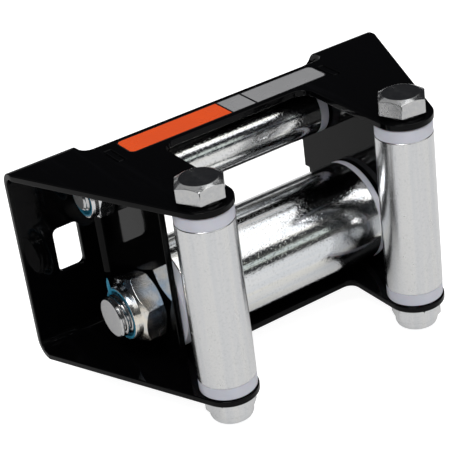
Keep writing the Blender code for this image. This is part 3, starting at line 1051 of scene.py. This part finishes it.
    def _nut(self) -> Mesh:
        """Build the lock nut: chamfered hexagon, collar and rolled lip over its ring.

        Returns:
            Its mesh.
        """
        sizes = self.fastener
        seat = self._span("nut")[1]
        hexagon = Hexagon(sizes.across_flats, self.nut_turn)
        edge = sizes.edge
        bore = sizes.radius + GAP
        pocket = bore + sizes.ring_wall + GAP
        lip = pocket + sizes.lip_wall
        mouth = pocket - sizes.lip_hook
        height = sizes.nut_height
        floor = sizes.hex_height - sizes.nut_floor
        lip_margin, flat_margin, root_step = 0.05 * MM, 0.02 * MM, 0.04 * MM
        crown = hexagon.apothem - sizes.nut_chamfer
        crest = min(max(crown, lip + lip_margin), hexagon.apothem - flat_margin)
        root = crest - root_step
        neck = root - sizes.neck_depth
        brow = min(lip, neck) - sizes.collar_taper

        def lower(radius: float) -> float:
            """Height of the seat's chamfer at a radius."""
            return max(0.0, radius - crown) * CHAMFER_SLOPE

        def upper(radius: float) -> float:
            """Height of the collar's chamfer at a radius."""
            return sizes.hex_height - max(0.0, radius - crest) * sizes.nut_slope

        rings = [
            [(bore, floor)],
            [(bore, 0)],
            [(crown - edge, 0)],
            hexagon.ring(lower, -edge / 4, edge),
            hexagon.ring(lower, edge),
            hexagon.ring(upper, -edge),
            hexagon.ring(upper, edge / 4, edge),
        ]
        collar = [
            (root, sizes.hex_height, 0),
            (neck, sizes.hex_height + sizes.neck_rise, sizes.neck_radius),
            (brow, height - sizes.brow_drop, sizes.brow_radius),
            (pocket + sizes.lip_taper, height, sizes.lip_radius),
            (mouth, height, sizes.mouth_radius),
            (mouth, height - sizes.lip_depth, sizes.hook_radius),
            (pocket, height - sizes.lip_depth - sizes.lip_hook, 0),
        ]
        rings += [[point] for point in softened(collar, steps=4, closed=False)]
        rings.append([(pocket, floor)])
        flipped = [[(radius, seat - rise) for radius, rise in ring] for ring in rings]
        return ring_mesh(hexagon.angles, flipped, closed=True)

    def _ring(self) -> Mesh:
        """Build the nylon locking ring: a rim under the lip, and a slope down to the thread.

        Returns:
            Its mesh.
        """
        high = self._span("nut_ring")[1]
        low = self._span("nut")[1] - self.fastener.nut_height + self.ring_seat
        bore = self.fastener.radius + GAP / 2
        outer = self._radius("nut_ring") + GAP / 2
        rim = outer - self.ring_rim
        return turned_mesh(
            (bore, high, 0),
            (outer, high, 0),
            (outer, low, self.flange_edge),
            (rim, low, self.ring_bevel),
            (rim - self.ring_bevel, low + self.ring_slope[0], self.slope_radius),
            (bore, low + self.ring_slope[1], 0),
        )


BOLT_LINES = (
    BoltLine(
        "lower",
        Way.ALONG_X,
        LARGE,
        head_turn=10,
        nut_turn=10,
        tube_wall=3.0 * MM,
        tube_finish=Finish.BRIGHT_ZINC,
        far_reach=0.6 * MM,
        far_trim=0.5 * MM,
    ),
    BoltLine(
        "upper",
        Way.ALONG_X,
        SMALL,
        head_turn=0,
        nut_turn=20,
        tube_finish=Finish.BRIGHT_ZINC,
        far_reach=0.3 * MM,
        far_trim=0.4 * MM,
    ),
    BoltLine("vertical_left", Way.ALONG_Z, SMALL, head_turn=-2.7, nut_turn=39),
    BoltLine("vertical_right", Way.ALONG_Z, SMALL, head_turn=-9.2, nut_turn=11),
)


@dataclass(frozen=True)
class SheetPiece:
    """A piece of coated sheet steel: its node's shape with every cut edge rounded."""

    node: str
    edge_radius: float = 0.4 * MM
    edge_steps: int = 3
    flattest: float = 0.5
    sharpest: float = 32.0

    def build(self, frame: dict) -> None:
        """Build the piece over its node, its flat facets joined so that the bevel runs clean.
        """
        work = bmesh.new()
        work.from_mesh(frame["nodes"][self.node].data)
        bmesh.ops.remove_doubles(work, verts=work.verts, dist=MERGED)
        flat = math.radians(self.flattest)
        bmesh.ops.dissolve_limit(
            work, angle_limit=flat, verts=work.verts, edges=work.edges, delimit={"NORMAL"}
        )
        piece = new_piece(self.node + "_looks", mesh_of(work), Finish.COAT.material)
        bevel = piece.modifiers.new("edge radius", "BEVEL")
        bevel.width = self.edge_radius
        bevel.segments = self.edge_steps
        bevel.limit_method = "ANGLE"
        bevel.angle_limit = math.radians(self.sharpest)
        bevel.use_clamp_overlap = False
        bevel.miter_outer = "MITER_ARC"
        bpy.context.view_layer.update()
        shaped = piece.evaluated_get(bpy.context.evaluated_depsgraph_get())
        mesh = bpy.data.meshes.new_from_object(shaped)
        piece.modifiers.clear()
        piece.data = mesh
        shade(mesh, sharp_angle=50)
        keep_flats(piece)
        declare(piece, node=self.node)


@dataclass(frozen=True)
class Weld:
    """The fillet weld in the corner between a side plate and the back wall."""

    side: Side
    low: float = -20.0 * MM
    high: float = 10.0 * MM
    wall_leg: float = 1.9 * MM
    plate_leg: float = 1.8 * MM
    fade: float = 4.2 * MM
    skin: float = 0.15 * MM
    root: float = 0.2 * MM
    least_rise: float = 0.02 * MM
    lower_share: float = 0.85
    end_power: int = 14
    crown: float = 0.06
    ripple: float = 1.6 * MM
    ripple_height: float = 0.03 * MM
    ripple_lag: float = 0.35
    rows_per_ripple: int = 6
    arc_steps: int = 8

    def _section(self, share: float) -> list[Point2]:
        """Shape the bead at a share of its height.

        Args:
            share: The share, from 0 at its lower end to 1.

        Returns:
            Distances from the side plate and from the wall.
        """
        taper = math.sqrt(max(0.0, 1 - abs(2 * share - 1) ** self.end_power))
        full = (self.lower_share + (1 - self.lower_share) * share) * taper
        wave = (share * (self.high - self.low) / self.ripple) % 1.0
        rise = self.ripple_height * (1 - 2 * abs(wave - 0.5)) + self.least_rise
        across = self.wall_leg * full + rise
        along = self.plate_leg * full + rise
        points = [(-self.root, -self.root)]
        for step in range(self.arc_steps + 1):
            spot = math.sin(math.pi / 2 * step / self.arc_steps) ** 2
            crown = 1 + self.crown * math.sin(math.pi * spot)
            out = self.skin + (across - self.skin) * (1 - spot)
            points.append((out * crown, along * crown * spot))
        points.append((self.skin, max(along, self.fade * full)))
        return points

    def build(self) -> None:
        """Build the bead as a faintly rippled fillet with tapered ends."""
        sign = self.side.value
        plate_low, plate_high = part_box("side_plate_" + self.side.word)
        outside = plate_high.x if sign > 0 else plate_low.x
        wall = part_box("frame")[1].y - SHEET
        rows = round((self.high - self.low) / self.ripple * self.rows_per_ripple)
        sections = []
        for row in range(rows + 1):
            height = self.low + row / rows * (self.high - self.low)
            section = []
            for out, forward in self._section(row / rows):
                behind = min(1.0, out * forward / (self.wall_leg * self.plate_leg))
                level = height - self.ripple_lag * self.ripple * behind
                section.append((outside + sign * out, wall - forward, level))
            sections.append(section)
        add_skinned("weld_" + self.side.word, sections, Finish.COAT)


@dataclass(frozen=True)
class PaintedBlueLightStreak:
    """A solid strip of blue nylon running up from the large nut's locking ring: painted light, standing
    for a streak of blue light there.
    """

    path_mm: tuple[Point3, ...] = (
        (-60.8, -27.9, -9.6),
        (-60.95, -27.8, -8.0),
        (-61.1, -27.85, -6.2),
        (-61.25, -28.0, -4.4),
        (-61.35, -28.2, -2.6),
    )
    widths_mm: tuple[float, ...] = (0.5, 0.58, 0.56, 0.42, 0.16)
    across: Point3 = (0.8, -0.6, 0.0)
    through: Point3 = (0.6, 0.8, 0.0)
    thickness: float = 0.16 * MM
    curl: float = 0.25
    curl_turn: float = 5.0
    steps: int = 5
    points: int = 10

    def _sample(self, share: float) -> tuple[Vector, float]:
        """Find a place on the streak.

        Args:
            share: The share of the way along it.

        Returns:
            The place and the half width there.
        """
        spot = share * (len(self.path_mm) - 1)
        index = min(int(spot), len(self.path_mm) - 2)
        part = spot - index
        smooth = part * part * (3 - 2 * part)
        place = Vector(self.path_mm[index]).lerp(Vector(self.path_mm[index + 1]), part)
        width, following = self.widths_mm[index : index + 2]
        return place * MM, (width + (following - width) * smooth) * MM

    def build(self) -> None:
        """Build the painted light streak as a thin tapered strip with rounded sides."""
        count = (len(self.path_mm) - 1) * self.steps
        across, through = Vector(self.across), Vector(self.through)
        sections = []
        for row in range(count + 1):
            place, width = self._sample(row / count)
            thick = self.thickness * (1 + self.curl * math.sin(self.curl_turn * row / count))
            section = []
            for step in range(self.points):
                turn = FULL_TURN * step / self.points
                off = across * width * math.cos(turn) + through * thick * math.sin(turn)
                section.append(place + off)
            sections.append(section)
        # Painted light: blue nylon put where there is only a streak of blue light beside the ring.
        add_skinned("nylon_shred", sections, Finish.BLUE_NYLON)


@dataclass(frozen=True)
class LabelPanel:
    """One bare colour field of the label."""

    name: str
    left: float
    right: float
    finish: Finish


@dataclass(frozen=True)
class Label:
    """The label on the top plate: a black film with three bare colour fields."""

    back: float = -13.7 * MM
    front: float = -24.6 * MM
    margin: float = 0.55 * MM
    corner: float = 1.8 * MM
    lift: float = 0.02 * MM
    film_height: float = 0.10 * MM
    sink: float = 0.01 * MM
    print_height: float = 0.03 * MM
    panels: tuple[LabelPanel, ...] = (
        LabelPanel("label_field_orange", -41.4 * MM, 1.0 * MM, Finish.ORANGE_FILM),
        LabelPanel("label_field_small", 1.8 * MM, 11.6 * MM, Finish.GREY_FILM),
        LabelPanel("label_field_grey", 12.5 * MM, 43.9 * MM, Finish.GREY_FILM),
    )

    @property
    def ends(self) -> Point2:
        """The left end of the first field and the right end of the last one."""
        return self.panels[0].left, self.panels[-1].right

    def build(self) -> None:
        """Build the film and its fields on the top plate."""
        film_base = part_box("frame")[1].z + self.lift
        print_base = film_base + self.film_height - self.sink
        whole = LabelPanel("label_film", *self.ends, Finish.BLACK_FILM)
        self._add(whole, self.margin, film_base, self.film_height)
        for panel in self.panels:
            self._add(panel, 0.0, print_base, self.print_height)

    def _add(self, panel: LabelPanel, margin: float, base: float, height: float) -> None:
        """Put one layer of the label on the plate, round where the label ends.

        Args:
            panel: The layer's name, ends and finish.
            margin: How far it reaches past the fields all round.
            base: Its lower side.
            height: Its height.
        """
        left, right = panel.left - margin, panel.right + margin
        front, back = self.front - margin, self.back + margin
        start = self.corner + margin if panel.left == self.ends[0] else 0.0
        stop = self.corner + margin if panel.right == self.ends[1] else 0.0
        corners = [(left, front, start), (right, front, stop), (right, back, stop), (left, back, start)]
        mesh = flat_mesh(softened(corners), base, base + height)
        declare(new_piece(panel.name, mesh, panel.finish.material))


@dataclass(frozen=True)
class Softbox:
    """A soft lamp, set by the direction it is seen in from the part."""

    name: str
    towards: Point3
    size: Point2
    radiance: float
    colour: Colour = (1.0, 1.0, 1.0)
    distance: float = 1.0

    def build(self) -> None:
        """Build the lamp, facing the part."""
        lamp = bpy.data.lights.new(self.name, "AREA")
        lamp.shape = "RECTANGLE"
        lamp.size, lamp.size_y = self.size
        lamp.energy = self.radiance * math.pi * self.size[0] * self.size[1]
        lamp.color = self.colour
        holder = bpy.data.objects.new(self.name, lamp)
        away = Vector(self.towards).normalized()
        holder.location = away * self.distance
        holder.rotation_euler = away.to_track_quat("Z", "Y").to_euler()
        bpy.context.scene.collection.objects.link(holder)


@dataclass(frozen=True)
class Studio:
    """White floor, room, lamps and the photograph's camera."""

    floor_size: float = 6.0
    floor_thickness: float = 5.0 * MM
    floor_clearance: float = 0.1 * MM
    floor_glow: float = 0.93
    floor_mirror_glow: float = 0.35
    floor_colour: Colour = (0.42, 0.42, 0.42)
    floor_roughness: float = 0.9
    room: Colour = (0.028, 0.029, 0.032)
    soft_light: float = 0.5
    camera_place: Point3 = (-0.25943, -0.45484, 0.27121)
    camera_right: Point3 = (0.8231, -0.5549, -0.1212)
    camera_up: Point3 = (0.3668, 0.3563, 0.8594)
    camera_sensor: float = 36.0
    camera_lens: float = 120.47
    camera_shift: Point2 = (0.0169, 0.0420)
    lamps: tuple[Softbox, ...] = (
        Softbox("softbox_front", (0.22, -0.488, 0.848), (1.0, 1.04), 1.45),
        Softbox("softbox_step", (0.434, 0.19, 0.88), (0.26, 0.75), 0.6),
        Softbox("spot_left", (-0.434, -0.359, 0.827), (0.36, 0.36), 10.0),
        Softbox("softbox_back", (-0.08, 0.45, 0.89), (0.5, 0.95), 0.45),
        Softbox("strip_back", (0.086, 0.953, 0.292), (0.5, 0.16), 0.5),
        Softbox("strip_low", (0.44, -0.87, 0.22), (0.9, 0.14), 0.75, (0.93, 1.0, 0.93)),
    )

    def build(self) -> None:
        """Build the whole studio."""
        self._build_floor()
        self._build_room()
        for lamp in self.lamps:
            lamp.build()
        self._build_camera()
        bpy.context.scene.view_settings.view_transform = "Standard"

    def _build_floor(self) -> None:
        """Build a white floor just under the part, which keeps its shadow."""
        half = self.floor_size / 2
        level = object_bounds()[0][2] - self.floor_clearance
        corners = [(-half, -half), (half, -half), (half, half), (-half, half)]
        mesh = flat_mesh(corners, level - self.floor_thickness, level)
        material, graph, shader = new_material("white_floor")
        graph.feed(shader, {"Base Color": (*self.floor_colour, 1), "Roughness": self.floor_roughness})
        rays = graph.node("LightPath", {}).outputs
        seen = graph.math("MAXIMUM", rays["Is Camera Ray"], rays["Is Transmission Ray"])
        shown = graph.math("MULTIPLY", seen, self.floor_glow)
        mirrored = graph.math("MULTIPLY", rays["Is Glossy Ray"], self.floor_mirror_glow)
        glow = graph.math("MAXIMUM", shown, mirrored)
        light = graph.node("Emission", {"Color": WHITE, "Strength": glow})
        both = graph.node("AddShader", {0: shader.outputs[0], 1: light.outputs[0]})
        graph.feed(graph.tree.nodes["Material Output"], {"Surface": both.outputs[0]})
        new_piece("floor", mesh, material)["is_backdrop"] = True

    def _build_room(self) -> None:
        """Build a room that is white to the camera, soft light to matt surfaces, dim to mirrors."""
        world = bpy.data.worlds.new("room")
        world.use_nodes = True
        bpy.context.scene.world = world
        graph = Graph(world.node_tree)
        plain = graph.tree.nodes["Background"]
        graph.feed(plain, {"Color": (*self.room, 1), "Strength": 1.0})
        rays = graph.node("LightPath", {}).outputs
        seen = graph.math("MAXIMUM", rays["Is Camera Ray"], rays["Is Transmission Ray"])
        soft = graph.math("MULTIPLY", rays["Is Diffuse Ray"], self.soft_light)
        level = graph.math("MAXIMUM", seen, soft)
        white = graph.node("Background", {"Color": WHITE, "Strength": level})
        lit = graph.math("MAXIMUM", seen, rays["Is Diffuse Ray"])
        both = graph.node("MixShader", {0: lit, 1: plain.outputs[0], 2: white.outputs[0]})
        graph.feed(graph.tree.nodes["World Output"], {"Surface": both.outputs[0]})

    def _build_camera(self) -> None:
        """Build the camera as fitted to the photograph."""
        right = Vector(self.camera_right).normalized()
        up = Vector(self.camera_up)
        up = (up - right * up.dot(right)).normalized()
        data = bpy.data.cameras.new("camera")
        data.sensor_width = self.camera_sensor
        data.lens = self.camera_lens
        data.shift_x, data.shift_y = self.camera_shift
        camera = bpy.data.objects.new("camera", data)
        turn = Matrix((right, up, right.cross(up))).transposed().to_4x4()
        camera.matrix_world = Matrix.Translation(self.camera_place) @ turn
        bpy.context.scene.collection.objects.link(camera)
        bpy.context.scene.camera = camera


def main() -> None:
    """Build the part's looks and the studio."""
    logging.basicConfig(level=logging.INFO, format="%(name)s %(message)s")
    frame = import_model()
    for node in ("frame", "side_plate_left", "side_plate_right"):
        SheetPiece(node).build(frame)
    for side in Side:
        Weld(side).build()
    for line in BOLT_LINES:
        line.build()
    PaintedBlueLightStreak().build()
    Label().build()
    Studio().build()


if __name__ == "__main__":
    main()
